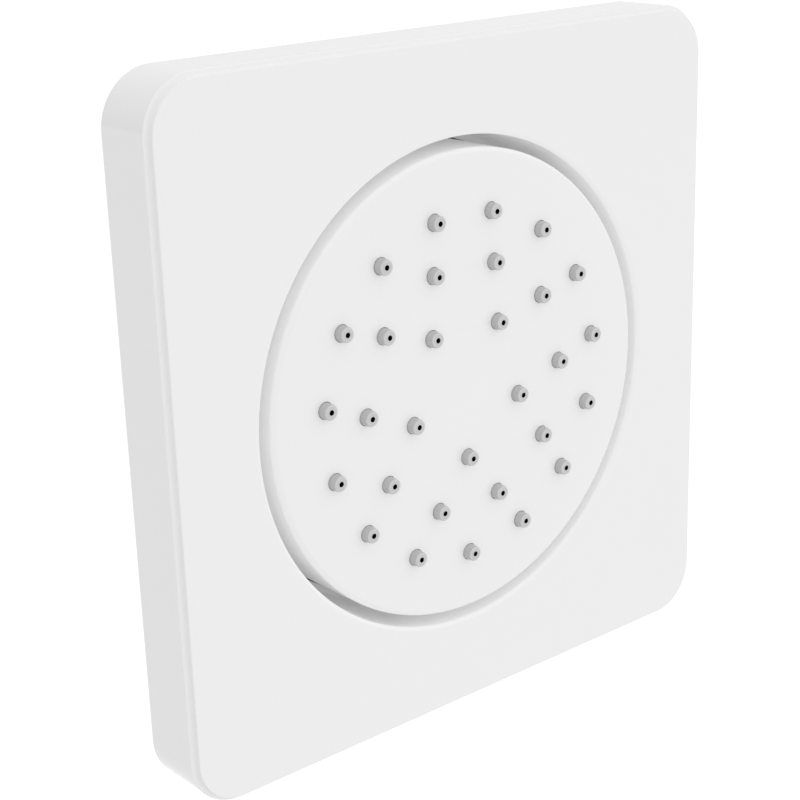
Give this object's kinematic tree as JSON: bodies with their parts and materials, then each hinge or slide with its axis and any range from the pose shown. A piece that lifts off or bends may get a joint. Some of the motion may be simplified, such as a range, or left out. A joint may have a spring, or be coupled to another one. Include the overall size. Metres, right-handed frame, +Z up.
{
  "type": "shower body jet",
  "caption": "Square wall-mounted shower body jet: a flat plate with a round spray head on a ball joint, soft nozzles in rings and a threaded water inlet behind.",
  "frame": {"origin": "on the jet's axis, in the plane of the wall's surface, at the middle of the four screw holes", "axes": "+X to the right seen from the front, +Y along the jet's axis into the wall, +Z up"},
  "size_m": [0.12, 0.0533, 0.12],
  "materials": {
    "white_shell": "satin white moulding",
    "cup_plastic": "plain white moulding",
    "grey_silicone": "light grey silicone",
    "black_rubber": "black rubber",
    "brass": "turned brass",
    "steel": "stainless steel",
    "acetal": "natural acetal",
    "grey_plastic": "grey moulding"
  },
  "bodies": {
    "fixture": {"face_plate": "white_shell", "mounting_cup": "cup_plastic", "wall_seal": "black_rubber", "plate_grips": "black_rubber", "ball_stud": "brass", "hub_washer": "black_rubber", "nut_washer": "steel", "lock_nut": "brass", "flow_regulator": "grey_plastic", "regulator_o_ring": "black_rubber", "inlet_filter": "steel"},
    "ball_seat": {"ball_seat": "acetal"},
    "ball_seal": {"ball_seal": "black_rubber"},
    "head": {"spray_face": "white_shell", "nozzle_mat": "grey_silicone", "nozzle_plate": "grey_plastic", "chamber_o_ring": "black_rubber", "head_back": "grey_plastic", "head_screws": "steel", "socket_nut": "brass"}
  },
  "joints": [
    {"name": "tilt_up_down", "type": "hinge", "parent": "fixture", "child": "ball_seat", "pos_m": [0, 0.00147, 0], "axis": [1, 0, 0], "range_deg": [-6, 6]},
    {"name": "tilt_left_right", "type": "hinge", "parent": "ball_seat", "child": "ball_seal", "pos_m": [0, 0.00147, 0], "axis": [0, 0, 1], "range_deg": [-6, 6]},
    {"name": "spin", "type": "hinge", "parent": "ball_seal", "child": "head", "pos_m": [0, 0.00147, 0], "axis": [0, 1, 0], "continuous": true}
  ]
}
